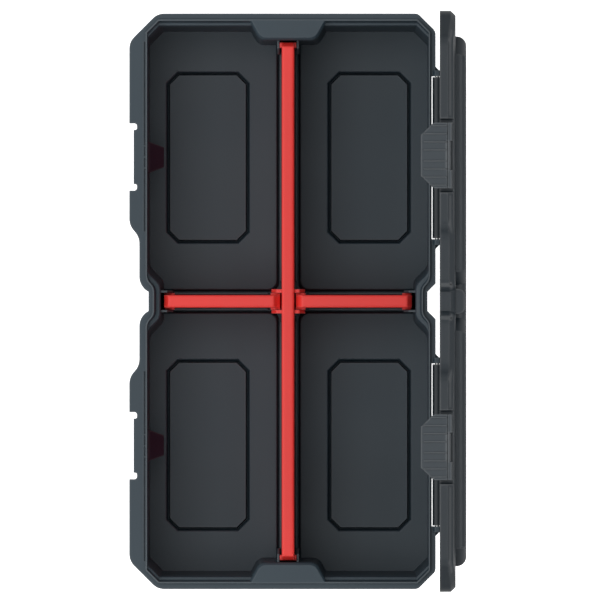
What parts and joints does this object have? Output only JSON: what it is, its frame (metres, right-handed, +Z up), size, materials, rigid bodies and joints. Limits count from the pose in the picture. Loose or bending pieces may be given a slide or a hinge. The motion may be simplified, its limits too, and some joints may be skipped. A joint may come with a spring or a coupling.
{
  "type": "compartment organizer box",
  "caption": "Rectangular storage box with removable cross dividers, a hinged lid stood open, a snap latch at each end of the lid's front edge and stacking feet.",
  "frame": {"origin": "middle of the bounding box with the lid open, on the surface that the feet stand on", "axes": "+X along the box, +Y towards the hinges, +Z up; the latches are at -Y on the box when the lid is shut"},
  "size_m": [0.39, 0.2282, 0.2996],
  "materials": {
    "body_plastic": "fine moulded texture",
    "lid_plastic": "fine moulded texture",
    "seal_rubber": "soft",
    "divider_plastic": "semi-matte moulded",
    "cup_plastic": "semi-matte moulded",
    "latch_plastic": "fine moulded texture",
    "pin_steel": "drawn wire"
  },
  "bodies": {
    "base": {"base_shell": "body_plastic", "finger_cup_left": "cup_plastic", "finger_cup_right": "cup_plastic", "hinge_pin_left": "pin_steel", "hinge_pin_right": "pin_steel"},
    "lid": {"lid_shell": "lid_plastic", "lid_seal": "seal_rubber", "latch_pin_left": "pin_steel", "latch_pin_right": "pin_steel"},
    "latch_left": {"latch_left": "latch_plastic"},
    "latch_right": {"latch_right": "latch_plastic"},
    "long_divider": {"long_divider": "divider_plastic"},
    "short_divider_front": {"short_divider_front": "divider_plastic"},
    "short_divider_rear": {"short_divider_rear": "divider_plastic"}
  },
  "joints": [
    {"name": "lid_hinge", "type": "hinge", "parent": "base", "child": "lid", "pos_m": [0, 0.09455, 0.0905], "axis": [-1, 0, 0], "range_deg": [-90, 0]},
    {"name": "latch_left_pivot", "type": "hinge", "parent": "lid", "child": "latch_left", "pos_m": [-0.0978, 0.10165, 0.296], "axis": [-1, 0, 0], "range_deg": [0, 105]},
    {"name": "latch_right_pivot", "type": "hinge", "parent": "lid", "child": "latch_right", "pos_m": [0.0978, 0.10165, 0.296], "axis": [-1, 0, 0], "range_deg": [0, 105]},
    {"name": "long_divider_lift", "type": "slide", "parent": "base", "child": "long_divider", "axis": [0, 0, 1], "range_m": [0, 0.095]},
    {"name": "short_divider_front_lift", "type": "slide", "parent": "base", "child": "short_divider_front", "axis": [0, 0, 1], "range_m": [0, 0.095]},
    {"name": "short_divider_rear_lift", "type": "slide", "parent": "base", "child": "short_divider_rear", "axis": [0, 0, 1], "range_m": [0, 0.095]}
  ]
}
